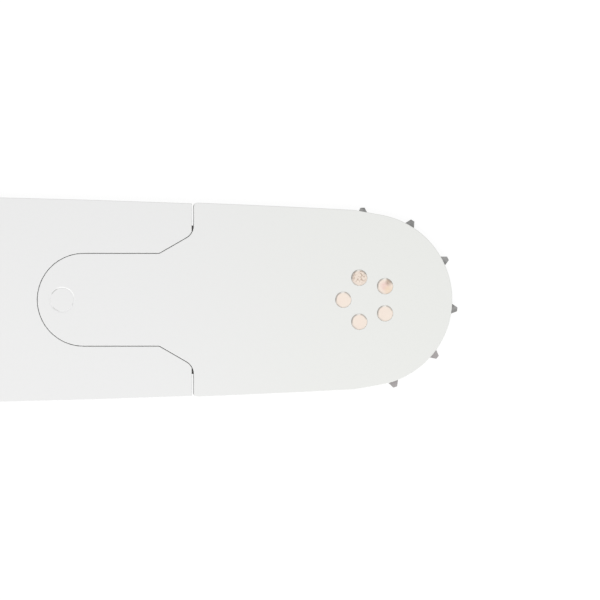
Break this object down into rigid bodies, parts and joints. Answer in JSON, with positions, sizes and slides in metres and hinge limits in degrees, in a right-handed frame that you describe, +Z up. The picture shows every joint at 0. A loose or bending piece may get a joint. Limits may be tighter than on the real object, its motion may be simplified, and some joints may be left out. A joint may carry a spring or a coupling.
{
  "type": "chainsaw guide bar",
  "caption": "Painted steel chainsaw guide bar with grooved rails, a slotted tail that clamps to the saw, and a riveted replaceable nose whose toothed sprocket turns on rollers.",
  "frame": {"origin": "middle of the stud slot at the tail, on the lower face that is clamped to the saw", "axes": "+X along the bar towards the nose, +Y across it, +Z up through its thickness; it lies flat"},
  "size_m": [0.494, 0.0732, 0.0049],
  "materials": {
    "white_paint": "satin off-white baked enamel",
    "plain_steel": "dull rolled",
    "hard_steel": "hardened, tumbled",
    "bearing_steel": "ground",
    "coppered_rivet": "bare, coppered, spun over"
  },
  "bodies": {
    "bar": {"bar_body": "white_paint", "nose_plate_upper": "white_paint", "nose_plate_lower": "white_paint", "mounting_rivet": "white_paint", "nose_core": "plain_steel", "bearing_race": "bearing_steel", "nose_rivets": "coppered_rivet"},
    "sprocket": {"nose_sprocket": "hard_steel"},
    "roller_ring": {"roller_01": "bearing_steel", "roller_02": "bearing_steel", "roller_03": "bearing_steel", "roller_04": "bearing_steel", "roller_05": "bearing_steel", "roller_06": "bearing_steel", "roller_07": "bearing_steel", "roller_08": "bearing_steel", "roller_09": "bearing_steel", "roller_10": "bearing_steel", "roller_11": "bearing_steel", "roller_12": "bearing_steel", "roller_13": "bearing_steel", "roller_14": "bearing_steel", "roller_15": "bearing_steel", "roller_16": "bearing_steel", "roller_17": "bearing_steel", "roller_18": "bearing_steel", "roller_19": "bearing_steel", "roller_20": "bearing_steel", "roller_21": "bearing_steel", "roller_22": "bearing_steel", "roller_23": "bearing_steel", "roller_24": "bearing_steel", "roller_25": "bearing_steel", "roller_26": "bearing_steel", "roller_27": "bearing_steel", "roller_28": "bearing_steel"}
  },
  "joints": [
    {"name": "sprocket_spin", "type": "hinge", "parent": "bar", "child": "sprocket", "pos_m": [0.4118, 0, 0.00235], "axis": [0, 0, 1], "continuous": true},
    {"name": "roller_orbit", "type": "hinge", "parent": "bar", "child": "roller_ring", "pos_m": [0.4118, 0, 0.00235], "axis": [0, 0, 1], "continuous": true}
  ],
  "couplings": [
    {"joint": "roller_orbit", "follows": "sprocket_spin", "ratio": 0.55453}
  ]
}
